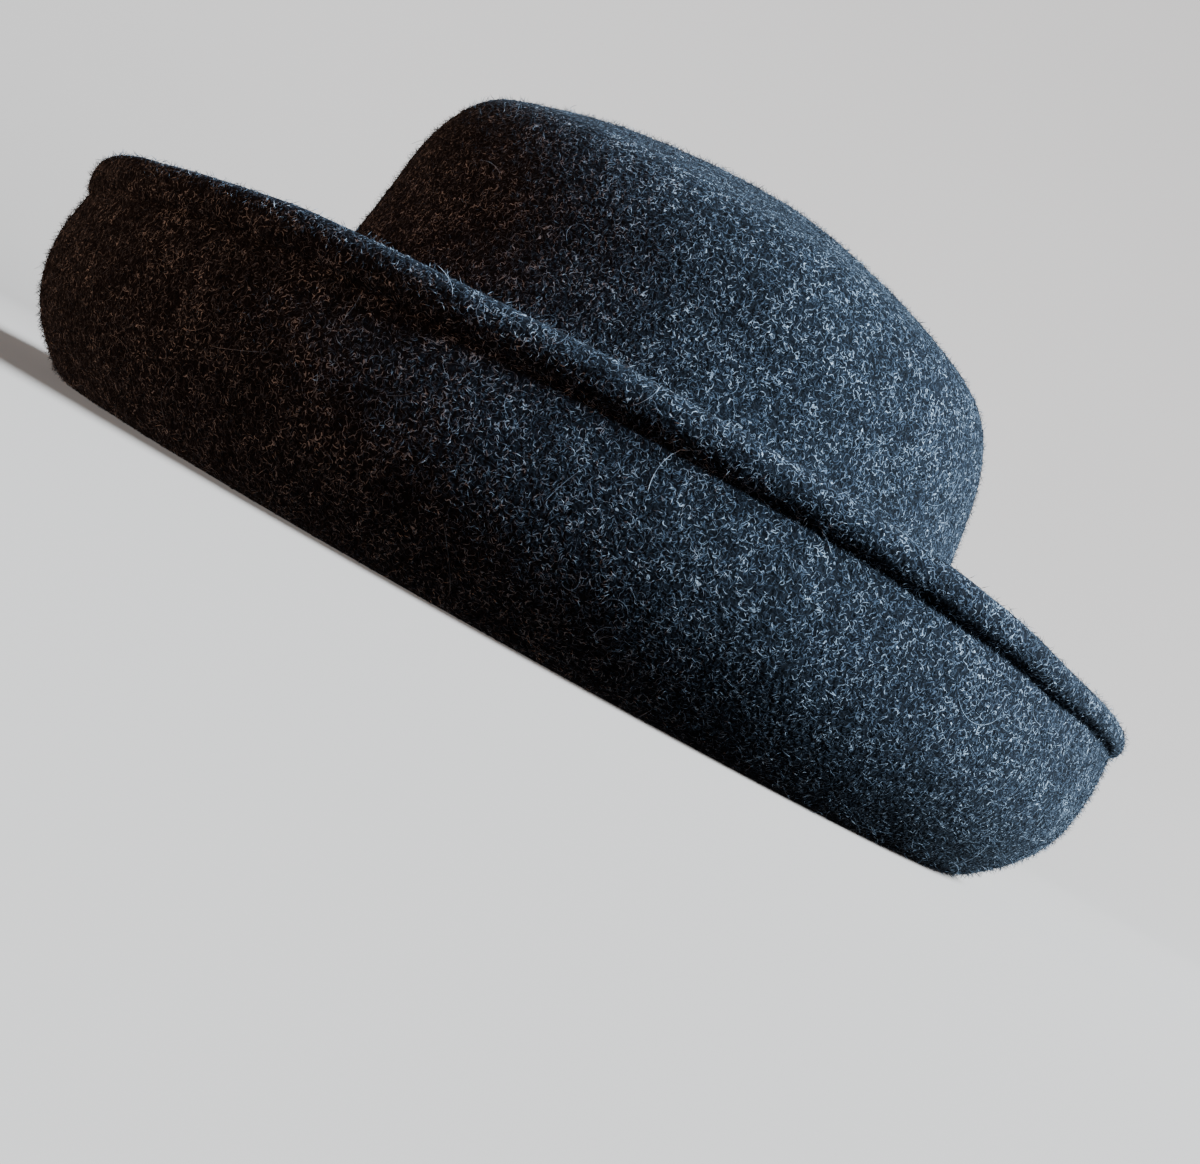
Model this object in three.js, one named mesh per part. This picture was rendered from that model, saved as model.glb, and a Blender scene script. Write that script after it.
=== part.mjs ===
// A felt hat with a round-shouldered crown and a deep brim turned up all round.
// The whole hat is one piece of blocked felt, so the model is one closed solid, hollow inside the crown and
// open along the trough between the crown and the turned-up brim.
// Millimetres. +Z is up, -Y is the front of the hat, +X is the wearer's left. The hat stands on its brim at
// z = 0, and the origin is in the middle of the brim's length and width.

import * as THREE from "three";
import { mergeVertices } from "three/addons/utils/BufferGeometryUtils.js";

// Driving dimensions
const FELT = 3.0; // thickness of the felt
const CROWN_HEIGHT = 138.5; // middle of the tip above the surface the brim stands on
const FOLD_ROUNDNESS = 2.5; // power of the curve from the brim's fold up to its belly
const LIP_PROUD = 2.2; // how far the turned edge stands out from the wall below it
const PRESSED = 0.2; // how much thinner the felt is where the brim stands on it
const COLUMNS_ROUND = 64; // sections round the hat

// Sizes at the front, side and back. Reaches are to the felt's outer face from the hat's upright axis.
// head = the crown at the head line, belly = the brim's wall at its widest, groove = the wall just under the
// lip, spread = how much narrower the brim is at its fold than at its belly, tilt = slope of the tip.
const STATIONS = Object.fromEntries(table(
  ["place", "head", "belly", "groove", "spread", "bellyHeight", "rimHeight", "lipHeight", "tilt"],
  [
    ["front", 100.0, 159.6, 158.0, 18.0, 33.0, 55.0, 10.5, 1.5],
    ["side", 86.0, 143.0, 141.8, 21.0, 38.0, 62.7, 10.0, 0.0],
    ["back", 105.0, 158.4, 158.0, 22.0, 35.0, 52.9, 5.5, -8.0],
  ],
).map((row) => [row.place, row]));

// The tip, from its centre to its edge: share = part of the way out
const TIP_ROWS = table(["share", "steps"], [
  [0.0, 1],
  [0.3, 1],
  [0.55, 1],
  [0.8, 1],
]);

// The crown's outer face: in = distance inside the head line's outline, steps = facets to the next row
const CROWN_ROWS = table(["name", "in", "height", "steps"], [
  ["tip edge", 29.5, 124.8, 2],
  ["shoulder", 19.3, 119.4, 3],
  ["side top", 11.8, 105.5, 1],
  ["side upper", 8.6, 85.0, 1],
  ["side middle", 4.8, 60.0, 1],
  ["side lower", 1.7, 35.0, 1],
  ["head line", 0.0, 17.0, 2],
]);
const SIDE_TOP = CROWN_ROWS.find((row) => row.name === "side top");

// The brim's floor, on the felt's middle line: out = distance outside the head line, height = how high it is
// above the surface, or null where the felt lies on it
const FLOOR_ROWS = table(["name", "out", "height", "steps"], [
  ["flare", 1.8, 7.5, 2],
  ["floor inner", 9.5, 2.4, 1],
  ["rest inner", 18.0, null, 1],
]);

// The brim's wall, on its outer face: rise = share of the way from the surface up to the belly
const WALL_ROWS = table(["name", "rise", "steps"], [
  ["rest outer", 0.0, 1],
  ["fold", 0.05, 2],
  ["fold upper", 0.16, 1],
  ["wall lower", 0.34, 2],
  ["wall", 0.62, 1],
  ["belly", 1.0, 1],
]);

// The turned edge, going up its outside and over the rim to the wall's inside.
// out = outwards from the felt's middle line, as a share: 1 is the wall's face, 2 is the lip's face.
// down = distance below the top of the rim, as a share of the lip's height.
const LIP_ROWS = table(["name", "out", "down"], [
  ["wall below groove", 1.0, 1.14],
  ["groove", 0.62, 1.02],
  ["lip foot", 1.55, 0.95],
  ["lip lower", 1.93, 0.78],
  ["lip middle", 2.0, 0.5],
  ["lip upper", 1.82, 0.24],
  ["rim outer", 1.35, 0.07],
  ["rim", 0.6, 0.0],
  ["rim inner", -0.5, 0.06],
  ["edge inside", -1.0, 0.24],
]);

const MATERIAL = { color: 0x262a33, roughness: 0.95, metalness: 0 };

/** Turns rows of plain values into objects with the given column names. */
function table(names, rows) {
  return rows.map((row) => Object.fromEntries(names.map((name, i) => [name, row[i]])));
}

/** A point of the section: its reach from the axis, and its height. */
function at(reach, height) {
  return new THREE.Vector3(reach, height, 0);
}

/** A point on the crown's outer face, lifted or lowered by the slope of the tip. */
function crownPoint(station, reach, height) {
  const shoulderReach = station.head - SIDE_TOP.in;
  const share = Math.min(1, height / SIDE_TOP.height, reach / shoulderReach);
  return at(reach, height + station.tilt * share);
}

/** The crown's outer face at one place, from the tip's centre to the head line. */
function crownLine(station) {
  const edge = CROWN_ROWS[0];
  const tip = TIP_ROWS.map((row) => {
    const dome = (CROWN_HEIGHT - edge.height) * (1 - row.share ** 2);
    return crownPoint(station, (station.head - edge.in) * row.share, edge.height + dome);
  });
  const side = CROWN_ROWS.map((row) => crownPoint(station, station.head - row.in, row.height));
  return [...tip, ...side];
}

/** The outer face of the brim's wall at one place, from the surface it stands on to the groove. */
function wallLine(station) {
  const rise = WALL_ROWS.map((row) => {
    const inset = station.spread * (1 - row.rise) ** FOLD_ROUNDNESS;
    return at(station.belly - inset, row.rise * station.bellyHeight);
  });
  const [belowGroove] = LIP_ROWS;
  return [...rise, at(station.groove, station.rimHeight - belowGroove.down * station.lipHeight)];
}

/** Moves a line sideways, to the left of the way that it runs. */
function offset(points, distance) {
  return points.map((point, i) => {
    const before = points[Math.max(0, i - 1)];
    const after = points[Math.min(points.length - 1, i + 1)];
    const along = new THREE.Vector3().subVectors(after, before).normalize();
    const normal = point.x === 0 ? at(0, 1) : at(-along.y, along.x);
    return point.clone().addScaledVector(normal, distance);
  });
}

/** The felt's middle line at one place, from the tip's centre to the wall just below the lip. */
function middleLine(station) {
  const restHeight = FELT / 2 - PRESSED;
  const crown = offset(crownLine(station), -FELT / 2);
  const floor = FLOOR_ROWS.map((row) => at(station.head + row.out, row.height ?? restHeight));
  const wall = offset(wallLine(station), FELT / 2);
  wall[0] = at(station.belly - station.spread - FELT, restHeight);
  const knots = [...crown, ...floor, ...wall];
  const curve = new THREE.CatmullRomCurve3(knots, false, "centripetal");
  const last = knots.length - 1;
  const points = [];
  [...TIP_ROWS, ...CROWN_ROWS, ...FLOOR_ROWS, ...WALL_ROWS].forEach((row, i) => {
    for (let step = 0; step < row.steps; step += 1) {
      points.push(curve.getPoint((i + step / row.steps) / last));
    }
  });
  points.push(curve.getPoint(1));
  return points;
}

/** The lip's outline at one place, from the wall's outer face over the rim to its inner face. */
function lipLine(station) {
  return LIP_ROWS.map((row) => {
    const wall = (Math.min(row.out, 1) - 1) * (FELT / 2);
    const lip = Math.max(row.out - 1, 0) * LIP_PROUD;
    return at(station.groove + wall + lip, station.rimHeight - row.down * station.lipHeight);
  });
}

/** The closed section at one place: up the inside, over the lip, down the trough and up the crown's outside. */
function section(station) {
  const middle = middleLine(station);
  const under = offset(middle, -FELT / 2).slice(0, -1);
  const over = offset(middle, FELT / 2);
  under.forEach((point) => {
    point.y = Math.max(point.y, 0);
  });
  return [...under, ...lipLine(station), ...over.reverse()];
}

/** Spins the section into a closed skin, and draws it out from a circle into the hat's oval. */
function feltGeometry() {
  const front = section(STATIONS.front);
  const side = section(STATIONS.side);
  const back = section(STATIONS.back);
  const profile = side.map((point) => new THREE.Vector2(point.x, point.y));
  const geometry = new THREE.LatheGeometry(profile, COLUMNS_ROUND);
  geometry.deleteAttribute("uv");
  geometry.deleteAttribute("normal");
  const position = geometry.getAttribute("position");
  for (let column = 0; column <= COLUMNS_ROUND; column += 1) {
    const angle = (2 * Math.PI * (column % COLUMNS_ROUND)) / COLUMNS_ROUND;
    const across = Math.sin(angle);
    const along = -Math.cos(angle);
    const end = along < 0 ? front : back;
    side.forEach((point, row) => {
      const height = across ** 2 * point.y + along ** 2 * end[row].y;
      position.setXYZ(column * side.length + row, across * point.x, along * end[row].x, height);
    });
  }
  const merged = mergeVertices(geometry, 1e-4);
  merged.computeVertexNormals();
  return merged;
}

const hat = new THREE.Group();
hat.name = "felt_hat";

const felt = new THREE.Mesh(feltGeometry(), new THREE.MeshStandardMaterial(MATERIAL));
felt.name = "felt_body";
hat.add(felt);

export default hat;
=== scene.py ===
"""A wool felt hat: a round-shouldered crown, and a deep brim turned up all round that ends in a proud lip.

The felt is one blocked skin, spun from its section and drawn out to the hat's oval. Its nap, the loose
wool fibres that lie on the felt and stand a little out of it, is laid over the skin as small closed strands.
Sizes are in metres. +Z is up, -Y is the front of the hat and +X is the wearer's left.
"""

import logging
import math
from collections.abc import Sequence
from dataclasses import dataclass, field, replace
from enum import Enum, IntEnum

import bmesh
import bpy
import numpy as np
from mathutils import Matrix, Vector, noise
from mathutils.bvhtree import BVHTree


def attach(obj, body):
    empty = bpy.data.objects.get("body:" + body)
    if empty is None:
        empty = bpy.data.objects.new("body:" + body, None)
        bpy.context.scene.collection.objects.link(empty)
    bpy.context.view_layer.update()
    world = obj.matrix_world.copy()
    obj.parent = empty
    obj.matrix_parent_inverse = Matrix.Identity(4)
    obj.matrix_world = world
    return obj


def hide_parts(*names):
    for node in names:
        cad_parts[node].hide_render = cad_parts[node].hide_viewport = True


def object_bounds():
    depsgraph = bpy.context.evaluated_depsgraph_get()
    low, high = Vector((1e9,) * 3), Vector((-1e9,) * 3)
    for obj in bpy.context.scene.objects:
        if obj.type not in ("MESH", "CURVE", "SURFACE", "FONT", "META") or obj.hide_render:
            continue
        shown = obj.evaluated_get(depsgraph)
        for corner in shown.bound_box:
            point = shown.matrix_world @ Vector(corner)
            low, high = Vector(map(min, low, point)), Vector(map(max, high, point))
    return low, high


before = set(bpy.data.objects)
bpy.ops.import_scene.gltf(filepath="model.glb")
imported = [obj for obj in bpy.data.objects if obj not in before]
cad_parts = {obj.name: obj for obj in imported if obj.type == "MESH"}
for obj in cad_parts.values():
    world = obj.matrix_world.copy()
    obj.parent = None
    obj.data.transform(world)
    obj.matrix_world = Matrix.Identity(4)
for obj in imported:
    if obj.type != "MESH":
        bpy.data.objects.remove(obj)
CAD_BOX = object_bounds()

FELT_NODE = "felt_body"
BODY = "root"
BAKE_MAP = "OFBake"  # the UV map that a bake of a finish goes through
TONE = "tone"  # the attribute that holds how pale a fibre is, from 0 to 1
ROW = "row"  # the attribute that holds a spun vertex's row of the profile
COLUMN = "column"  # the attribute that holds its step round the axis
MERGE_DISTANCE = 1e-6  # how close the spun vertices that become one lie
ALONG_SKEW = (0.31, 0.57, 0.76)  # a direction that the felt's normal is hardly ever parallel to
ACROSS_SKEW = (0.83, -0.31, 0.46)  # a direction that a fibre is hardly ever parallel to
TILE_MARGIN = 0.1  # the empty edge of a fibre's tile on the bake's map, as a share of the tile

log = logging.getLogger("felt_hat")

Colour = tuple[float, float, float]


class Zone(IntEnum):
    """The stretches of the felt's skin, in the order in which the section runs through them."""

    INSIDE = 0
    WALL = 1
    TROUGH = 2
    CROWN = 3


class Side(Enum):
    """Which half of the hat a coat of nap covers."""

    BOTH = 0
    LEFT = 1
    RIGHT = -1


@dataclass(frozen=True)
class Station:
    """The hat's section at one place round it. Reaches are from the upright axis to the felt's outer face.

    Attributes:
        head: reach of the crown at the head line.
        belly: reach of the brim's wall at its widest.
        groove: reach of the wall just under the lip.
        spread: how much narrower the brim is at its fold than at its belly.
        belly_height: height of the belly above the surface.
        rim_height: height of the top of the brim.
        lip_height: height of the turned edge.
        lip_proud: how far the lip stands out from the wall below it.
        groove_depth: how deep the groove under the lip goes into the wall.
        tilt: how much the slope of the tip lifts the crown here.
    """

    head: float
    belly: float
    groove: float
    spread: float
    belly_height: float
    rim_height: float
    lip_height: float
    lip_proud: float
    groove_depth: float
    tilt: float


@dataclass(frozen=True)
class TipRow:
    """A row of the tip: part of the way from its centre to its edge."""

    share: float
    steps: int = 1


@dataclass(frozen=True)
class CrownRow:
    """A row of the crown's side: distance inside the head line's outline, and height."""

    inward: float
    height: float
    steps: int = 1


@dataclass(frozen=True)
class FloorRow:
    """A row of the brim's floor: distance outside the head line, and height of the felt's middle."""

    out: float
    height: float
    steps: int = 1


@dataclass(frozen=True)
class WallRow:
    """A row of the brim's wall: share of the way from the surface up to the belly."""

    rise: float
    steps: int = 1


@dataclass(frozen=True)
class LipRow:
    """A row of the turned edge.

    Attributes:
        out: outwards from the felt's middle line, as a share: 1 is the wall's face, 2 is the lip's face.
        down: distance below the top of the rim, as a share of the lip's height.
        deep: how far into the wall, as a share of the groove's depth.
    """

    out: float
    down: float
    deep: float = 0.0


def spline(knots: Sequence[Vector], counts: Sequence[int]) -> list[Vector]:
    """Runs a smooth centripetal curve through the knots.

    Args:
        knots: the points that the curve passes through.
        counts: how many steps to take from each knot to the next.

    Returns:
        The points on the curve, the last knot included.
    """
    ends = [2 * knots[0] - knots[1], *knots, 2 * knots[-1] - knots[-2]]
    points = []
    for i, count in enumerate(counts):
        a, b, c, d = ends[i:i + 4]
        before, here, after = ((q - p).length ** 0.5 for p, q in ((a, b), (b, c), (c, d)))
        leave = ((b - a) / before - (c - a) / (before + here) + (c - b) / here) * here
        arrive = ((c - b) / here - (d - b) / (here + after) + (d - c) / after) * here
        for step in range(count):
            t = step / count
            square, cube = 3 * (c - b) - 2 * leave - arrive, 2 * (b - c) + leave + arrive
            points.append(b + t * leave + t**2 * square + t**3 * cube)
    return [*points, knots[-1].copy()]


def sideways(points: Sequence[Vector], distance: float) -> list[Vector]:
    """Moves a line of the section sideways.

    Args:
        points: the line, as (reach, height).
        distance: how far each point goes to the left of the way that the line runs.

    Returns:
        The moved line.
    """
    moved = []
    for i, point in enumerate(points):
        along = (points[min(i + 1, len(points) - 1)] - points[max(i - 1, 0)]).normalized()
        normal = Vector((0, 1)) if point.x == 0 else Vector((-along.y, along.x))
        moved.append(point + distance * normal)
    return moved


@dataclass
class Section:
    """The felt's section from the tip down the crown, across the floor and up the brim's wall to the lip."""

    felt: float = 0.0030
    crown_height: float = CAD_BOX[1].z
    fold_roundness: float = 2.5
    fineness: int = 4
    lip_fineness: int = 4
    front: Station = Station(
        head=0.1000, belly=0.1596, groove=0.1580, spread=0.0180, belly_height=0.0330, rim_height=0.0550,
        lip_height=0.0095, lip_proud=0.0013, groove_depth=0.0003, tilt=0.0015,
    )
    side: Station = Station(
        head=0.0860, belly=0.1430, groove=0.1418, spread=0.0210, belly_height=0.0380, rim_height=0.0627,
        lip_height=0.0100, lip_proud=0.0026, groove_depth=0.0010, tilt=0.0,
    )
    back: Station = Station(
        head=0.1050, belly=0.1584, groove=0.1580, spread=0.0220, belly_height=0.0350, rim_height=0.0529,
        lip_height=0.0055, lip_proud=0.0022, groove_depth=0.0006, tilt=-0.0080,
    )
    tip: tuple[TipRow, ...] = (TipRow(0.0), TipRow(0.3), TipRow(0.55), TipRow(0.8))
    crown: tuple[CrownRow, ...] = (
        CrownRow(0.0295, 0.1248, 2), CrownRow(0.0193, 0.1194, 3), CrownRow(0.0118, 0.1055),
        CrownRow(0.0086, 0.0850), CrownRow(0.0048, 0.0600), CrownRow(0.0017, 0.0350),
        CrownRow(0.0, 0.0170, 2),
    )
    side_top: CrownRow = crown[2]
    floor: tuple[FloorRow, ...] = (
        FloorRow(0.0018, 0.0075, 2), FloorRow(0.0095, 0.0024), FloorRow(0.0180, 0.0013),
    )
    wall: tuple[WallRow, ...] = (
        WallRow(0.0), WallRow(0.05, 2), WallRow(0.16), WallRow(0.34, 2), WallRow(0.62), WallRow(1.0),
    )
    lip: tuple[LipRow, ...] = (
        LipRow(1.0, 1.18), LipRow(1.0, 1.11, deep=0.22), LipRow(1.0, 1.02, deep=1.0),
        LipRow(1.0, 0.95, deep=0.4), LipRow(1.35, 0.87), LipRow(1.8, 0.72), LipRow(2.0, 0.48),
        LipRow(1.84, 0.25), LipRow(1.4, 0.08), LipRow(0.6, 0.0), LipRow(-0.5, 0.06), LipRow(-1.0, 0.24),
        LipRow(-1.0, 0.7),
    )

    def crown_point(self, station: Station, reach: float, height: float) -> Vector:
        """A point of the crown's outer face, lifted or lowered by the slope of the tip.

        Args:
            station: the place round the hat.
            reach: distance from the axis.
            height: height before the slope.

        Returns:
            The point, as (reach, height).
        """
        share = min(1.0, height / self.side_top.height, reach / (station.head - self.side_top.inward))
        return Vector((reach, height + station.tilt * share))

    def middle_line(self, station: Station) -> list[Vector]:
        """The felt's middle line, from the tip's centre to the wall just below the lip.

        Args:
            station: the place round the hat.

        Returns:
            The points of the line, as (reach, height).
        """
        edge = self.crown[0]
        dome, reach = self.crown_height - edge.height, station.head - edge.inward
        outer = [
            self.crown_point(station, reach * r.share, edge.height + dome * (1 - r.share**2))
            for r in self.tip
        ]
        outer += [self.crown_point(station, station.head - r.inward, r.height) for r in self.crown]
        floor = [Vector((station.head + r.out, r.height)) for r in self.floor]
        wall = [
            Vector((
                station.belly - station.spread * (1 - r.rise) ** self.fold_roundness,
                r.rise * station.belly_height,
            ))
            for r in self.wall
        ]
        wall.append(Vector((station.groove, station.rim_height - self.lip[0].down * station.lip_height)))
        wall = sideways(wall, self.felt / 2)
        wall[0] = Vector((station.belly - station.spread - self.felt, self.floor[-1].height))
        knots = [*sideways(outer, -self.felt / 2), *floor, *wall]
        rows = (*self.tip, *self.crown, *self.floor, *self.wall)
        return spline(knots, [r.steps * self.fineness for r in rows])

    def lip_line(self, station: Station) -> list[Vector]:
        """The turned edge's outline, from the wall's outer face over the rim to its inner face.

        Args:
            station: the place round the hat.

        Returns:
            The points of the line, as (reach, height).
        """
        knots = []
        for row in self.lip:
            wall = (min(row.out, 1) - 1) * self.felt / 2 - row.deep * station.groove_depth
            lip = max(row.out - 1, 0) * station.lip_proud
            height = station.rim_height - row.down * station.lip_height
            knots.append(Vector((station.groove + wall + lip, height)))
        return spline(knots, [self.lip_fineness] * (len(knots) - 1))

    def outline(self, station: Station) -> list[Vector]:
        """The whole section: up the inside, over the lip, down the trough and up the crown's outside.

        Args:
            station: the place round the hat.

        Returns:
            The points of the closed skin's section, from axis to axis.
        """
        middle = self.middle_line(station)
        under = [Vector((p.x, max(p.y, 0.0))) for p in sideways(middle, -self.felt / 2)[:-1]]
        over = sideways(middle, self.felt / 2)
        return [*under, *self.lip_line(station), *reversed(over)]

    def zones(self) -> list[Zone]:
        """The zone of each row of the outline."""
        crown = sum(r.steps for r in (*self.tip, *self.crown)) * self.fineness
        floor = crown + sum(r.steps for r in self.floor) * self.fineness
        last = floor + sum(r.steps for r in self.wall) * self.fineness
        lip = (len(self.lip) - 1) * self.lip_fineness + 1
        under = [Zone.INSIDE] * floor + [Zone.WALL] * (last - floor)
        over = [Zone.TROUGH] * (last + 1 - crown) + [Zone.CROWN] * crown
        return [*under, *[Zone.WALL] * lip, *over]


@dataclass(frozen=True)
class Unevenness:
    """One size of the small bends that blocking by hand leaves in the felt."""

    size: float
    amount: float


def spun(profile: Sequence[Vector], columns: int) -> bmesh.types.BMesh:
    """Spins a profile once round the upright axis, and puts the vertices in order of row and column.

    Args:
        profile: the points of the profile, as (reach, height).
        columns: how many steps to take round the axis.

    Returns:
        The skin, closed where the profile meets the axis, with each vertex's row and column.
    """
    bm = bmesh.new()
    row = bm.verts.layers.int.new(ROW)
    verts = []
    for i, point in enumerate(profile):
        verts.append(bm.verts.new((point.x, 0, point.y)))
        verts[-1][row] = i
    edges = [bm.edges.new(pair) for pair in zip(verts, verts[1:])]
    bmesh.ops.spin(
        bm, geom=[*verts, *edges], cent=(0, 0, 0), axis=(0, 0, 1), dvec=(0, 0, 0), angle=math.tau,
        steps=columns, use_merge=True, use_duplicate=False,
    )
    bmesh.ops.remove_doubles(bm, verts=bm.verts, dist=MERGE_DISTANCE)
    column = bm.verts.layers.int.new(COLUMN)
    for vert in bm.verts:
        if profile[vert[row]].x > MERGE_DISTANCE:
            vert[column] = round(math.atan2(vert.co.y, vert.co.x) / math.tau * columns) % columns
    bm.verts.sort(key=lambda v: v[row] * columns + v[column])
    return bm


def finished(bm: bmesh.types.BMesh, name: str) -> bpy.types.Mesh:
    """Turns a skin's faces outwards, smooths and orders them and makes a mesh of it.

    Args:
        bm: the skin, which is freed.
        name: the mesh's name.

    Returns:
        The mesh, which is the same each time however the faces were ordered.
    """
    bmesh.ops.recalc_face_normals(bm, faces=bm.faces)
    for face in bm.faces:
        face.smooth = True
    bm.verts.index_update()
    count = len(bm.verts)

    def order(face: bmesh.types.BMFace) -> int:
        """Where a face belongs, by the three lowest of its vertices."""
        first, second, third = sorted(vert.index for vert in face.verts)[:3]
        return (first * count + second) * count + third

    bm.faces.sort(key=order)
    mesh = bpy.data.meshes.new(name)
    bm.to_mesh(mesh)
    bm.free()
    return mesh


@dataclass
class FeltBody:
    """The blocked felt: one closed skin, from the inside of the crown over the lip to its outside."""

    section: Section = field(default_factory=Section)
    columns: int = 240
    rest_height: float = 0.014
    noise_seed: int = 7
    unevenness: tuple[Unevenness, ...] = (
        Unevenness(0.085, 0.0011), Unevenness(0.026, 0.00055), Unevenness(0.009, 0.00018),
    )

    def bend(self, place: Vector) -> Vector:
        """How far the felt is bent out of true at a place.

        Args:
            place: the place on the true shape.

        Returns:
            The move, which is level where the brim lies on the surface.
        """
        move = Vector((0, 0, 0))
        for kind in self.unevenness:
            move += noise.noise_vector(place / kind.size) * kind.amount
        lift = min(1.0, max(0.0, place.z / self.rest_height))
        move.z *= lift * lift
        return move

    def make(self) -> bpy.types.Object:
        """Builds the felt's skin, drawn out from a circle to the hat's oval.

        Returns:
            The object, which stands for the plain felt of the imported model.
        """
        front, side, back = (
            self.section.outline(s) for s in (self.section.front, self.section.side, self.section.back)
        )
        noise.seed_set(self.noise_seed)
        bm = spun(side, self.columns)
        row, column = bm.verts.layers.int[ROW], bm.verts.layers.int[COLUMN]
        for vert in bm.verts:
            angle = math.tau * vert[column] / self.columns
            across, along = math.cos(angle), math.sin(angle)
            near, far = side[vert[row]], (front if along < 0 else back)[vert[row]]
            place = Vector((across * near.x, along * far.x, across**2 * near.y + along**2 * far.y))
            vert.co = place + self.bend(place)
        return add_object("hat_felt", finished(bm, "hat_felt"))


@dataclass
class Skin:
    """The felt's finished surface, which the nap grows on.

    Attributes:
        places: the surface's points, as an array of row, column and coordinate. The first column is
            there again as the last.
        normals: the surface's normals there.
        zones: the zone of each row.
        tree: the surface, to look up the nearest point.
    """

    places: np.ndarray
    normals: np.ndarray
    zones: np.ndarray
    tree: BVHTree

    @classmethod
    def of(cls, felt: bpy.types.Object, body: FeltBody) -> "Skin":
        """Reads the surface of the finished felt.

        Args:
            felt: the felt.
            body: what it was built from.

        Returns:
            The surface.
        """
        mesh, columns = felt.data, body.columns
        grids = []
        for name in ("co", "normal"):
            flat = read(mesh.vertices, name)
            first, last = (np.repeat(flat[[i]], columns, axis=0) for i in (0, -1))
            grid = np.concatenate([first, flat[1:-1], last]).reshape(-1, columns, 3)
            grids.append(np.concatenate([grid, grid[:, :1]], axis=1))
        corners = [vert.co for vert in mesh.vertices]
        tree = BVHTree.FromPolygons(corners, [face.vertices for face in mesh.polygons])
        return cls(*grids, np.array(body.section.zones()), tree)


@dataclass(frozen=True)
class Strand:
    """A kind of loose wool fibre. It lies along the felt with both ends tucked in, or stands up at one end.

    Attributes:
        length: shortest and longest.
        radius: half the fibre's width at its middle, thinnest and thickest.
        arch: how high the middle of a lying fibre stands, lowest and highest.
        stand: how high the free end of a standing fibre is, lowest and highest.
        standing: share of the fibres that stand up at one end.
        curl: how far a fibre turns from its root to its end, in radians at most.
        tones: darkest and palest tone.
        rings: rings of three vertices between a fibre's two pointed ends.
    """

    length: tuple[float, float]
    radius: tuple[float, float]
    arch: tuple[float, float]
    stand: tuple[float, float]
    standing: float
    curl: float
    tones: tuple[float, float]
    rings: int = 2


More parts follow.
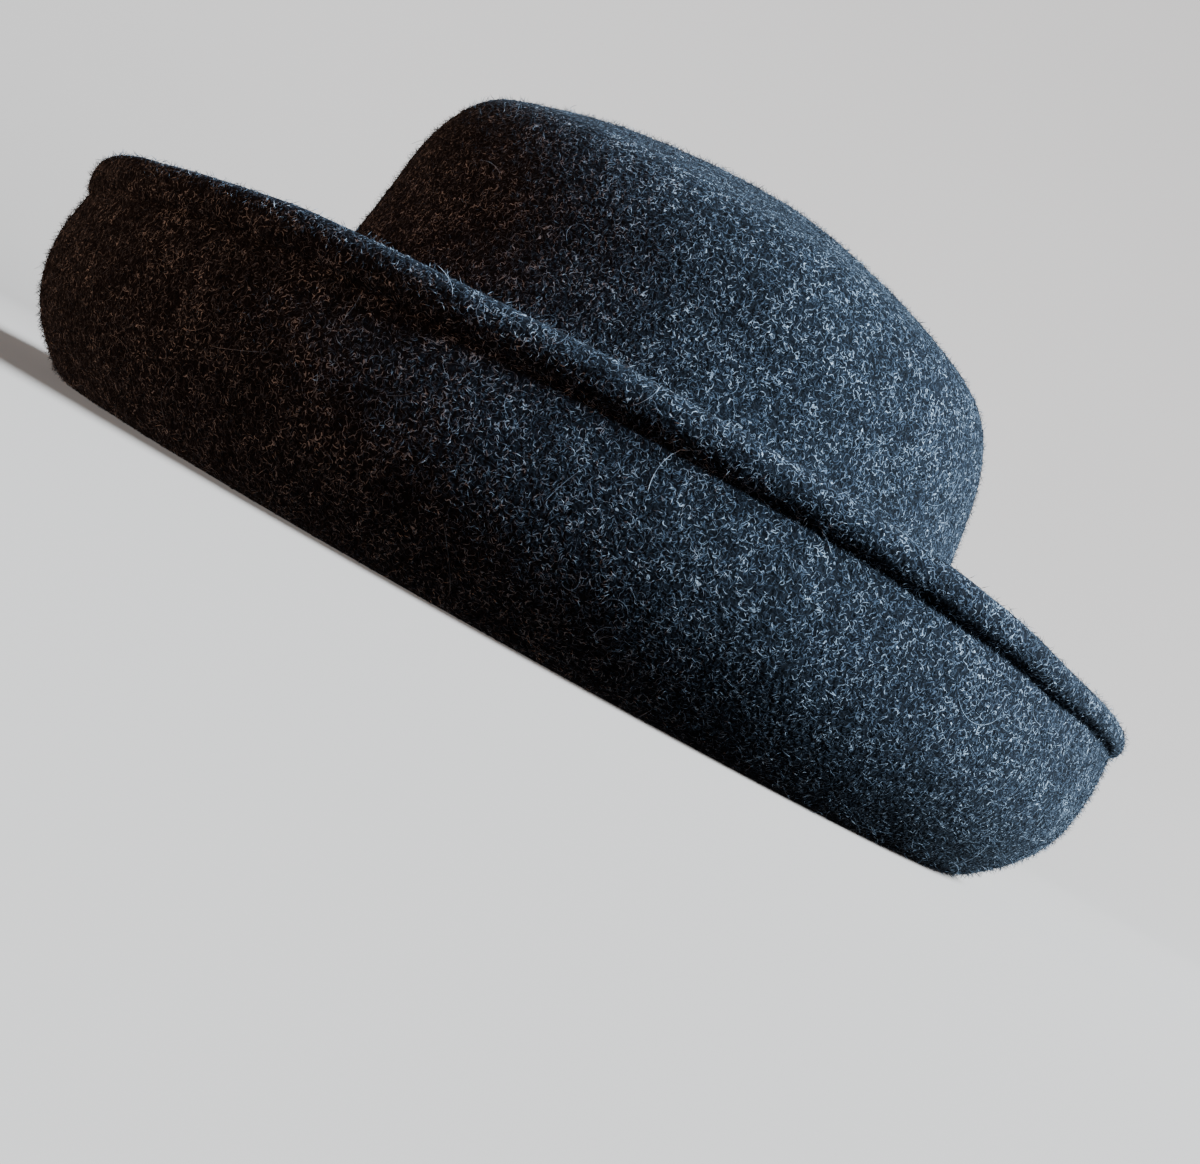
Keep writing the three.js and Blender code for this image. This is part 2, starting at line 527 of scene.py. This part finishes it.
@dataclass
class Nap:
    """A coat of loose fibres on one zone of the felt, as one mesh of small closed strands."""

    name: str
    zone: Zone
    count: int
    seed: int
    strand: Strand
    side: Side = Side.BOTH
    sunk: float = 0.00008
    corners: int = 3
    rise_power: float = 1.5

    def roots(self, skin: Skin, rng: np.random.Generator) -> tuple[np.ndarray, ...]:
        """Picks where the fibres grow, evenly over the zone's area.

        Args:
            skin: the felt's surface.
            rng: the source of the random draws.

        Returns:
            The places and the felt's normals there.
        """
        grid = skin.places
        spans = grid[1:, 1:] - grid[:-1, :-1], grid[1:, :-1] - grid[:-1, 1:]
        share = np.linalg.norm(np.cross(*spans), axis=2)
        share *= ((skin.zones[1:] == self.zone) & (skin.zones[:-1] == self.zone))[:, None]
        if self.side is not Side.BOTH:
            share *= np.sign(grid[1:, 1:, 0] + grid[:-1, :-1, 0]) == self.side.value
        picked = rng.choice(share.size, self.count, p=share.ravel() / share.sum())
        row, column = np.unravel_index(picked, share.shape)
        down, across = rng.random((2, self.count, 1))
        at, up = (
            (values[row, column] * (1 - across) + values[row, column + 1] * across) * (1 - down)
            + (values[row + 1, column] * (1 - across) + values[row + 1, column + 1] * across) * down
            for values in (grid, skin.normals)
        )
        return at, up / np.linalg.norm(up, axis=1, keepdims=True)

    def centrelines(
        self, at: np.ndarray, up: np.ndarray, skin: Skin, rng: np.random.Generator,
    ) -> np.ndarray:
        """Lays each fibre's middle line along the felt.

        Args:
            at: the roots.
            up: the felt's normals there.
            skin: the felt's surface, which the fibres follow.
            rng: the source of the random draws.

        Returns:
            The points of each line, as an array of fibre, point and coordinate.
        """
        kind, count = self.strand, self.count
        steps = kind.rings + 1
        share = np.linspace(0, 1, steps + 1)
        length = rng.uniform(*kind.length, count)
        heading = rng.uniform(0, math.tau, count)
        curl = rng.uniform(-kind.curl, kind.curl, count)
        first = np.cross(up, ALONG_SKEW)
        first /= np.linalg.norm(first, axis=1, keepdims=True)
        second = np.cross(up, first)
        lines = np.repeat(at[:, None, :], steps + 1, axis=1)
        for i in range(steps):
            turn = heading + curl * (i + 0.5) / steps
            way = np.cos(turn)[:, None] * first + np.sin(turn)[:, None] * second
            lines[:, i + 1] = lines[:, i] + way * (length / steps)[:, None]
        arch = rng.uniform(*kind.arch, count)[:, None] * np.sin(math.pi * share)
        stand = rng.uniform(*kind.stand, count)[:, None] * share**self.rise_power
        stands = rng.random(count)[:, None] < kind.standing
        height = np.where(stands, stand, arch) - self.sunk
        flat = lines.reshape(-1, 3)
        for i, (point, rise) in enumerate(zip(flat.tolist(), height.ravel().tolist())):
            place, normal, _, _ = skin.tree.find_nearest(point)
            flat[i] = place + normal * rise
        flat[:, 2] = np.maximum(flat[:, 2], kind.radius[1])
        return lines

    def mesh(self, lines: np.ndarray, rng: np.random.Generator) -> bpy.types.Mesh:
        """Turns the middle lines into closed strands with pointed ends.

        Args:
            lines: the points of each line.
            rng: the source of the random draws.

        Returns:
            The mesh, with each fibre's tone as an attribute and its own tile of the bake's map.
        """
        kind, count, corners = self.strand, self.count, self.corners
        rings, per_strand = kind.rings, kind.rings * corners + 2
        radius = rng.uniform(*kind.radius, count)[:, None, None]
        middle = lines[:, 1:-1]
        along = lines[:, 2:] - lines[:, :-2]
        along /= np.linalg.norm(along, axis=2, keepdims=True)
        out = np.cross(along, ACROSS_SKEW)
        out /= np.linalg.norm(out, axis=2, keepdims=True)
        over = np.cross(along, out)
        verts = np.empty((count, per_strand, 3))
        verts[:, 0], verts[:, -1] = lines[:, 0], lines[:, -1]
        for corner in range(corners):
            angle = math.tau * corner / corners
            ring = middle + radius * (math.cos(angle) * out + math.sin(angle) * over)
            verts[:, 1 + corner:-1:corners] = ring
        faces = []
        last = per_strand - 1
        for corner in range(corners):
            here, there = 1 + corner, 1 + (corner + 1) % corners
            faces.append((0, there, here))
            for ring in range(rings - 1):
                a, b = here + ring * corners, there + ring * corners
                faces.append((a, b, b + corners, a + corners))
            end = (rings - 1) * corners
            faces.append((here + end, there + end, last))
        places = [(0.0, 0.5)]
        for ring in range(rings):
            places += [((ring + 1) / (rings + 1), corner / (corners - 1)) for corner in range(corners)]
        places.append((1.0, 0.5))
        loops = [vertex for face in faces for vertex in face]
        tile = np.array([places[vertex] for vertex in loops])
        made = bpy.data.meshes.new(self.name)
        made.vertices.add(count * per_strand)
        made.vertices.foreach_set("co", verts.astype(np.float32).ravel())
        made.loops.add(count * len(loops))
        first_vertex = np.arange(count)[:, None] * per_strand
        made.loops.foreach_set("vertex_index", (first_vertex + np.array(loops)).astype(np.int32).ravel())
        sizes = np.tile([len(face) for face in faces], count)
        made.polygons.add(len(sizes))
        starts = np.concatenate(([0], np.cumsum(sizes)[:-1]))
        made.polygons.foreach_set("loop_start", starts.astype(np.int32))
        made.polygons.foreach_set("use_smooth", np.ones(len(sizes), bool))
        made.update(calc_edges=True)
        tones = rng.uniform(*kind.tones, count)
        attribute = made.attributes.new(TONE, "FLOAT", "POINT")
        attribute.data.foreach_set("value", np.repeat(tones, per_strand).astype(np.float32))
        self.lay_out(made, tile)
        return made

    def lay_out(self, made: bpy.types.Mesh, tile: np.ndarray) -> None:
        """Gives each fibre a tile of its own on the bake's map.

        Args:
            made: the mesh.
            tile: where the corners of one fibre's faces lie on its tile.
        """
        wide = math.ceil(math.sqrt(self.count))
        index = np.arange(self.count)
        corner = np.stack([index % wide, index // wide], axis=1)[:, None, :]
        places = (corner + TILE_MARGIN + (1 - 2 * TILE_MARGIN) * tile) / wide
        made.uv_layers.new(name=BAKE_MAP).uv.foreach_set("vector", places.astype(np.float32).ravel())

    def make(self, skin: Skin) -> bpy.types.Object:
        """Builds the coat.

        Args:
            skin: the felt's surface.

        Returns:
            The object.
        """
        rng = np.random.default_rng(self.seed)
        at, up = self.roots(skin, rng)
        lines = self.centrelines(at, up, skin, rng)
        return add_object(self.name, self.mesh(lines, rng))


LYING = Strand(
    length=(0.0011, 0.0026), radius=(0.000045, 0.00008), arch=(0.00012, 0.00030), stand=(0.0004, 0.0019),
    standing=0.5, curl=2.0, tones=(0.0, 1.0), rings=1,
)
EVEN = replace(LYING, tones=(0.06, 0.88), standing=0.42)
TUCKED = Strand(
    length=(0.0012, 0.0028), radius=(0.000045, 0.00008), arch=(0.00010, 0.00024), stand=(0.0002, 0.0006),
    standing=0.12, curl=1.8, tones=(0.0, 0.8), rings=1,
)
STRAY = Strand(
    length=(0.005, 0.012), radius=(0.00004, 0.00006), arch=(0.0003, 0.0010), stand=(0.0010, 0.0032),
    standing=0.45, curl=3.4, tones=(0.55, 1.0), rings=9,
)
LONG = Strand(
    length=(0.012, 0.022), radius=(0.00005, 0.00007), arch=(0.0005, 0.0014), stand=(0.0010, 0.0030),
    standing=0.3, curl=2.4, tones=(0.85, 1.0), rings=13,
)
NAPS = (
    Nap("nap_crown_left", Zone.CROWN, 28000, 11, EVEN, Side.LEFT),
    Nap("nap_crown_right", Zone.CROWN, 28000, 12, EVEN, Side.RIGHT),
    Nap("nap_brim_left", Zone.WALL, 31000, 13, LYING, Side.LEFT),
    Nap("nap_brim_right", Zone.WALL, 31000, 14, LYING, Side.RIGHT),
    Nap("nap_trough", Zone.TROUGH, 13000, 15, TUCKED),
    Nap("nap_inside", Zone.INSIDE, 5000, 16, TUCKED),
    Nap("stray_hairs_crown", Zone.CROWN, 90, 17, STRAY),
    Nap("stray_hairs_brim", Zone.WALL, 130, 18, STRAY),
    Nap("long_hairs_crown", Zone.CROWN, 14, 19, LONG),
    Nap("long_hairs_brim", Zone.WALL, 26, 20, LONG),
)


MIX_COLOURS = (6, 7)  # the numbers of a Mix node's two colour inputs
MIXED_COLOUR = 2  # the number of its colour output


class Tree:
    """A shorthand for laying out the nodes of a material or a node group."""

    def __init__(self, tree: bpy.types.NodeTree) -> None:
        """Keeps the tree, and clears it."""
        self.tree = tree
        tree.nodes.clear()

    def node(self, kind: str, inputs: dict[str, object] | None = None, **settings: object) -> bpy.types.Node:
        """Adds a node.

        Args:
            kind: the node's type, without the ShaderNode that they all start with.
            inputs: a value, or another node's output, for each input by its name or number.
            settings: the node's own properties.

        Returns:
            The node.
        """
        made = self.tree.nodes.new(kind if kind.startswith("NodeGroup") else "ShaderNode" + kind)
        for name, value in settings.items():
            setattr(made, name, value)
        for name, value in (inputs or {}).items():
            if isinstance(value, bpy.types.NodeSocket):
                self.tree.links.new(value, made.inputs[name])
            else:
                made.inputs[name].default_value = value
        return made

    def math(self, operation: str, *values: object) -> bpy.types.NodeSocket:
        """Adds a Math node and returns its output."""
        return self.node("Math", dict(enumerate(values)), operation=operation).outputs[0]

    def vector(self, operation: str, *values: object) -> bpy.types.NodeSocket:
        """Adds a Vector Math node and returns its output, which is a number for a dot product."""
        made = self.node("VectorMath", dict(enumerate(values)), operation=operation)
        return made.outputs["Value" if operation == "DOT_PRODUCT" else "Vector"]

    def scaled(self, vector: object, scale: object) -> bpy.types.NodeSocket:
        """Adds a node that makes a vector longer or shorter and returns its output."""
        return self.node("VectorMath", {0: vector, "Scale": scale}, operation="SCALE").outputs["Vector"]

    def mix(self, factor: object, first: object, second: object) -> bpy.types.NodeSocket:
        """Adds a colour mix.

        Args:
            factor: how much of the second colour shows.
            first: the first colour.
            second: the second colour.

        Returns:
            The mixed colour.
        """
        made = self.node("Mix", {"Factor": factor}, data_type="RGBA")
        for number, value in zip(MIX_COLOURS, (first, second)):
            if isinstance(value, bpy.types.NodeSocket):
                self.tree.links.new(value, made.inputs[number])
            else:
                made.inputs[number].default_value = (*value, 1.0)
        return made.outputs[MIXED_COLOUR]

    def fade(self, value: object, start: object, end: object) -> bpy.types.NodeSocket:
        """Adds a smooth step from 0 at start to 1 at end, or from 1 down to 0 if start is above end."""
        ends = {"Value": value, "From Min": start, "From Max": end}
        made = self.node("MapRange", ends, interpolation_type="SMOOTHSTEP")
        return made.outputs["Result"]

    def ramp(self, factor: object, stops: Sequence[tuple[float, Colour]]) -> bpy.types.NodeSocket:
        """Adds a colour ramp.

        Args:
            factor: where on the ramp to read.
            stops: the position and colour of each stop.

        Returns:
            The colour.
        """
        made = self.node("ValToRGB", {"Fac": factor})
        elements = made.color_ramp.elements
        while len(elements) < len(stops):
            elements.new(0.5)
        for element, (position, colour) in zip(elements, stops):
            element.position = position
            element.color = (*colour, 1.0)
        return made.outputs["Color"]


def new_group(
    name: str, inputs: dict[str, float | None], outputs: Sequence[str],
) -> tuple[Tree, bpy.types.Node]:
    """Starts a shader node group.

    Args:
        name: the group's name.
        inputs: each input's name with its usual value, or None for a vector.
        outputs: the names of the outputs, which are all numbers.

    Returns:
        The group's tree and its input node.
    """
    group = bpy.data.node_groups.new(name, "ShaderNodeTree")
    for label, value in inputs.items():
        kind = "NodeSocketVector" if value is None else "NodeSocketFloat"
        socket = group.interface.new_socket(label, in_out="INPUT", socket_type=kind)
        if value is not None:
            socket.default_value = value
    for label in outputs:
        group.interface.new_socket(label, in_out="OUTPUT", socket_type="NodeSocketFloat")
    tree = Tree(group)
    return tree, tree.node("NodeGroupInput")


FLECK_CORE = 0.35  # how much of a fleck's half width is at full strength
FLECK_EVEN = 0.8  # how much of a fleck's half length is at full strength
FLECK_MIX = (3.7, 5.3, 7.9)  # mixes a cell's random colour into its tone
HEATHER_FINE = 0.6  # how much of the heather's cloud comes from its fine pattern
HEATHER_RANGE = (0.36, 0.64)  # the pattern's values that become its darkest and palest


def fleck_group() -> bpy.types.NodeTree:
    """A group that scatters short bent fibres of many tones over a surface.

    Each cell of a cellular pattern holds one thin bent sheet, turned its own way and upright on the felt.
    It crosses the surface as a short curved line.

    Returns:
        The node group, with a Mask that is 1 on a fibre and a Tone of its own for each fibre.
    """
    tree, given = new_group(
        "wool_flecks",
        {"Vector": None, "Normal": None, "Scale": 500.0, "Width": 0.06, "Length": 0.5, "Bend": 0.8},
        ("Mask", "Tone"),
    )
    place = tree.scaled(given.outputs["Vector"], given.outputs["Scale"])
    cells = tree.node("TexVoronoi", {"Vector": place, "Scale": 1.0, "Randomness": 1.0}, feature="F1")
    local = tree.vector("SUBTRACT", place, cells.outputs["Position"])
    spin = tree.vector("SUBTRACT", cells.outputs["Color"], (0.5, 0.5, 0.5))
    across = tree.vector("NORMALIZE", tree.vector("CROSS_PRODUCT", spin, given.outputs["Normal"]))
    off = tree.vector("DOT_PRODUCT", local, across)
    lengthways = tree.vector("CROSS_PRODUCT", given.outputs["Normal"], across)
    along = tree.vector("DOT_PRODUCT", local, lengthways)
    bent = tree.math("MULTIPLY", tree.math("MULTIPLY", along, along), given.outputs["Bend"])
    gap = tree.math("ABSOLUTE", tree.math("ADD", off, bent))
    core = tree.math("MULTIPLY", given.outputs["Width"], FLECK_CORE)
    thin = tree.fade(gap, given.outputs["Width"], core)
    reach = tree.math("ABSOLUTE", along)
    even = tree.math("MULTIPLY", given.outputs["Length"], FLECK_EVEN)
    ends = tree.fade(reach, given.outputs["Length"], even)
    mixed = tree.vector("DOT_PRODUCT", cells.outputs["Color"], FLECK_MIX)
    tone = tree.math("FRACT", mixed)
    tree.node("NodeGroupOutput", {"Mask": tree.math("MULTIPLY", thin, ends), "Tone": tone})
    return tree.tree


def heather_group() -> bpy.types.NodeTree:
    """A group that gives the cloudy light and dark of wool that was mixed before felting.

    Returns:
        The node group, with a Cloud of about 0.5 on average.
    """
    tree, given = new_group("heather", {"Vector": None, "Fine": 300.0, "Broad": 90.0}, ("Cloud",))
    where = given.outputs["Vector"]
    fine = tree.node("TexNoise", {"Vector": where, "Scale": given.outputs["Fine"], "Detail": 2.0})
    broad = tree.node("TexNoise", {"Vector": where, "Scale": given.outputs["Broad"], "Detail": 1.0})
    rest = tree.math("MULTIPLY", broad.outputs["Fac"], 1 - HEATHER_FINE)
    both = tree.math("MULTIPLY_ADD", fine.outputs["Fac"], HEATHER_FINE, rest)
    tree.node("NodeGroupOutput", {"Cloud": tree.fade(both, *HEATHER_RANGE)})
    return tree.tree


@dataclass(frozen=True)
class FleckLayer:
    """One layer of fibres felted into the surface."""

    scale: float
    width: float
    bend: float
    strength: float
    shift: tuple[float, float, float]
    length: float = 0.62


@dataclass(frozen=True)
class FeltFinish:
    """The dark heathered felt under its nap."""

    name: str = "dark_heather_felt"
    ground: Colour = (0.0024, 0.0032, 0.0050)
    ground_pale: Colour = (0.0048, 0.0066, 0.0104)
    tones: tuple[tuple[float, Colour], ...] = (
        (0.0, (0.004, 0.006, 0.009)), (0.35, (0.013, 0.018, 0.028)), (0.70, (0.080, 0.106, 0.148)),
        (1.0, (0.450, 0.515, 0.600)),
    )
    layers: tuple[FleckLayer, ...] = (
        FleckLayer(430, 0.050, 0.9, 0.90, (0.0, 0.0, 0.0)),
        FleckLayer(550, 0.058, 1.3, 0.90, (0.31, 0.17, 0.53)),
        FleckLayer(690, 0.070, 0.8, 0.95, (0.71, 0.43, 0.29)),
        FleckLayer(870, 0.085, 1.1, 0.95, (0.13, 0.83, 0.61)),
    )
    curl_size: float = 900.0
    curl_amount: float = 0.0007
    roughness: float = 0.94
    grain_size: float = 750.0
    bump_height: float = 0.0006
    bump_strength: float = 0.8
    cloud_lift: float = 0.22
    cloud_base: float = 0.80
    sheen: float = 0.02
    sheen_roughness: float = 0.45
    sheen_tint: Colour = (0.62, 0.72, 0.86)
    specular: float = 0.10

    def make(self, flecks: bpy.types.NodeTree, heather: bpy.types.NodeTree) -> bpy.types.Material:
        """Builds the material.

        Args:
            flecks: the group that scatters fibres.
            heather: the group of light and dark clouds.

        Returns:
            The material.
        """
        material, tree, shader = new_material(self.name)
        where = tree.node("TexCoord").outputs["Object"]
        normal = tree.node("NewGeometry").outputs["Normal"]
        wander = tree.node("TexNoise", {"Vector": where, "Scale": self.curl_size, "Detail": 0.0})
        drift = tree.vector("SUBTRACT", wander.outputs["Color"], (0.5, 0.5, 0.5))
        curled = tree.vector("ADD", where, tree.scaled(drift, self.curl_amount * 2))
        cloud = tree.node("Group", {"Vector": where}, node_tree=heather)
        clouded = tree.math("MULTIPLY_ADD", cloud.outputs["Cloud"], self.cloud_lift, self.cloud_base)
        colour = tree.mix(cloud.outputs["Cloud"], self.ground, self.ground_pale)
        for layer in self.layers:
            given = {
                "Vector": tree.vector("ADD", curled, layer.shift), "Normal": normal, "Scale": layer.scale,
                "Width": layer.width, "Length": layer.length, "Bend": layer.bend,
            }
            fibres = tree.node("Group", given, node_tree=flecks)
            mask, tone = fibres.outputs["Mask"], fibres.outputs["Tone"]
            lit = tree.math("MULTIPLY", tone, clouded)
            shown = tree.math("MULTIPLY", mask, layer.strength)
            colour = tree.mix(shown, colour, tree.ramp(lit, self.tones))
        grain = tree.node("TexNoise", {"Vector": where, "Scale": self.grain_size, "Detail": 1.0})
        bump = tree.node(
            "Bump",
            {"Height": grain.outputs["Fac"], "Distance": self.bump_height, "Strength": self.bump_strength},
        )
        tree.tree.links.new(colour, shader.inputs["Base Color"])
        tree.tree.links.new(bump.outputs["Normal"], shader.inputs["Normal"])
        shader.inputs["Roughness"].default_value = self.roughness
        shader.inputs["Specular IOR Level"].default_value = self.specular
        shader.inputs["Sheen Weight"].default_value = self.sheen
        shader.inputs["Sheen Roughness"].default_value = self.sheen_roughness
        shader.inputs["Sheen Tint"].default_value = (*self.sheen_tint, 1.0)
        return material


@dataclass(frozen=True)
class NapFinish:
    """The loose fibres: most are dark or slate, and some nearly white."""

    name: str = "loose_wool"
    tones: tuple[tuple[float, Colour], ...] = (
        (0.0, (0.006, 0.008, 0.012)), (0.50, (0.026, 0.035, 0.050)), (0.8, (0.140, 0.175, 0.225)),
        (1.0, (0.520, 0.580, 0.660)),
    )
    cloud_lift: float = 0.18
    cloud_base: float = 0.82
    roughness: float = 0.8
    specular: float = 0.15

    def make(self, heather: bpy.types.NodeTree) -> bpy.types.Material:
        """Builds the material.

        Args:
            heather: the group of light and dark clouds.

        Returns:
            The material.
        """
        material, tree, shader = new_material(self.name)
        where = tree.node("TexCoord").outputs["Object"]
        cloud = tree.node("Group", {"Vector": where}, node_tree=heather)
        tone = tree.node("Attribute", attribute_name=TONE).outputs["Fac"]
        clouded = tree.math("MULTIPLY_ADD", cloud.outputs["Cloud"], self.cloud_lift, self.cloud_base)
        lit = tree.math("MULTIPLY", tone, clouded)
        tree.tree.links.new(tree.ramp(lit, self.tones), shader.inputs["Base Color"])
        shader.inputs["Roughness"].default_value = self.roughness
        shader.inputs["Specular IOR Level"].default_value = self.specular
        return material


@dataclass(frozen=True)
class StageFinish:
    """The plain pale paper of the floor and the wall behind."""

    name: str = "pale_paper"
    colour: Colour = (0.42, 0.345, 0.30)
    glow_colour: Colour = (0.62, 0.60, 0.58)
    roughness: float = 0.9
    glow: float = 0.22
    cloud_size: float = 2.5
    cloud_shade: float = 0.95

    def make(self) -> bpy.types.Material:
        """Builds the paper, with faint clouds and a glow for the light that the cove throws on itself."""
        material, tree, shader = new_material(self.name)
        where = tree.node("TexCoord").outputs["Object"]
        paper = tree.node("TexNoise", {"Vector": where, "Scale": self.cloud_size, "Detail": 2.0})
        darker = tuple(self.cloud_shade * part for part in self.colour)
        shade = tree.mix(paper.outputs["Fac"], self.colour, darker)
        tree.tree.links.new(shade, shader.inputs["Base Color"])
        shader.inputs["Roughness"].default_value = self.roughness
        shader.inputs["Emission Color"].default_value = (*self.glow_colour, 1.0)
        shader.inputs["Emission Strength"].default_value = self.glow
        return material


@dataclass
class Stage:
    """A round seamless cove: its floor turns up into a wall all round, so each view has the same ground."""

    floor_radius: float = 1.1
    turn_radius: float = 1.3
    wall_height: float = 3.2
    turn_steps: int = 16
    steps: int = 96

    def make(self) -> bpy.types.Object:
        """Builds the cove from a spun profile."""
        profile = [Vector((0.0, 0.0)), Vector((self.floor_radius, 0.0))]
        for i in range(1, self.turn_steps + 1):
            angle = math.pi / 2 * i / self.turn_steps
            reach = self.floor_radius + self.turn_radius * math.sin(angle)
            profile.append(Vector((reach, self.turn_radius * (1 - math.cos(angle)))))
        profile.append(Vector((self.floor_radius + self.turn_radius, self.wall_height)))
        cove = add_object("studio_cove", finished(spun(profile, self.steps), "studio_cove"))
        cove.visible_shadow = False
        cove.visible_diffuse = False
        cove.visible_glossy = False
        return cove


@dataclass(frozen=True)
class Lamp:
    """A round soft light that looks at the hat."""

    name: str
    place: tuple[float, float, float]
    size: float
    power: float
    colour: Colour

    def make(self, target: Vector) -> bpy.types.Object:
        """Builds the lamp.

        Args:
            target: the point that it faces.

        Returns:
            The lamp's object, which the camera doesn't see.
        """
        data = bpy.data.lights.new(self.name, "AREA")
        data.shape = "DISK"
        data.size = self.size
        data.energy = self.power
        data.color = self.colour
        lamp = add_object(self.name, data)
        lamp.location = self.place
        lamp.rotation_mode = "QUATERNION"
        lamp.rotation_quaternion = (target - Vector(self.place)).to_track_quat("-Z", "Y")
        lamp.visible_camera = False
        return lamp


@dataclass
class Studio:
    """The soft light: cool from above and behind the hat, and weak and warm from its front."""

    target: Vector = field(default_factory=lambda: Vector((0.0, 0.0, 0.06)))
    lamps: tuple[Lamp, ...] = (
        Lamp("key_light", (0.95, 3.10, 2.50), 2.3, 1120.0, (0.69, 0.86, 1.0)),
        Lamp("bounce_light", (0.6, -2.8, 0.02), 1.4, 46.0, (1.0, 0.41, 0.18)),
    )
    sky: Colour = (0.92, 0.87, 0.84)
    sky_strength: float = 0.095

    def make(self) -> list[bpy.types.Object]:
        """Builds the lamps and the dim even light of the room."""
        world = bpy.data.worlds.new("room_light")
        world.use_nodes = True
        background = world.node_tree.nodes["Background"]
        background.inputs["Color"].default_value = (*self.sky, 1.0)
        background.inputs["Strength"].default_value = self.sky_strength
        bpy.context.scene.world = world
        return [lamp.make(self.target) for lamp in self.lamps]


@dataclass(frozen=True)
class Camera:
    """The camera, rolled so that the hat leans in the picture as it does when it is worn."""

    place: Vector = Vector((0.5054, -0.02815, 0.0181))
    aim: Vector = Vector((0.0, 0.01325, 0.0230))
    roll_deg: float = 29.3
    lens: float = 53.775
    sensor: float = 36.0
    nearest: float = 0.01

    def make(self) -> bpy.types.Object:
        """Builds the camera and makes it the scene's own."""
        data = bpy.data.cameras.new("photo_camera")
        data.lens = self.lens
        data.sensor_fit = "HORIZONTAL"
        data.sensor_width = self.sensor
        data.clip_start = self.nearest
        camera = add_object("photo_camera", data)
        ahead = (self.aim - self.place).normalized()
        level = ahead.cross(Vector((0, 0, 1))).normalized()
        upright = level.cross(ahead)
        roll = math.radians(self.roll_deg)
        right = math.cos(roll) * level + math.sin(roll) * upright
        up = math.cos(roll) * upright - math.sin(roll) * level
        turn = Matrix((right, up, -ahead)).transposed()
        camera.matrix_world = Matrix.Translation(self.place) @ turn.to_4x4()
        bpy.context.scene.camera = camera
        return camera


def add_object(name: str, data: bpy.types.ID) -> bpy.types.Object:
    """Puts a mesh, lamp or camera into the scene as an object at the origin."""
    made = bpy.data.objects.new(name, data)
    bpy.context.scene.collection.objects.link(made)
    return made


def new_material(name: str) -> tuple[bpy.types.Material, Tree, bpy.types.Node]:
    """Starts a material.

    Args:
        name: the material's name.

    Returns:
        The material, its tree and its Principled shader.
    """
    material = bpy.data.materials.new(name)
    material.use_nodes = True
    tree = Tree(material.node_tree)
    shader = tree.node("BsdfPrincipled")
    tree.node("OutputMaterial", {"Surface": shader.outputs["BSDF"]})
    return material, tree, shader


def read(verts: bpy.types.bpy_prop_collection, name: str) -> np.ndarray:
    """Reads one vector of each of a mesh's vertices.

    Args:
        verts: the vertices.
        name: the property.

    Returns:
        The vectors, one row for each vertex.
    """
    values = np.empty(len(verts) * 3, np.float32)
    verts.foreach_get(name, values)
    return values.astype(np.float64).reshape(-1, 3)


def triangles(made: bpy.types.Object) -> int:
    """How many triangles an object's mesh has."""
    made.data.calc_loop_triangles()
    return len(made.data.loop_triangles)


def dress(made: bpy.types.Object, material: bpy.types.Material) -> None:
    """Gives a piece its finish, and its place on the hat's one body."""
    made.data.materials.append(material)
    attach(made, BODY)
    log.info("%s: %d triangles", made.name, triangles(made))


def main() -> None:
    """Builds the camera, the stage, the felt and its nap."""
    logging.basicConfig(level=logging.INFO, format="%(name)s %(message)s")
    Camera().make()
    cove = Stage().make()
    cove.data.materials.append(StageFinish().make())
    Studio().make()
    flecks, heather = fleck_group(), heather_group()
    body = FeltBody()
    felt = body.make()
    dress(felt, FeltFinish().make(flecks, heather))
    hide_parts(FELT_NODE)
    skin = Skin.of(felt, body)
    loose = NapFinish().make(heather)
    for nap in NAPS:
        dress(nap.make(skin), loose)


if __name__ == "__main__":
    main()
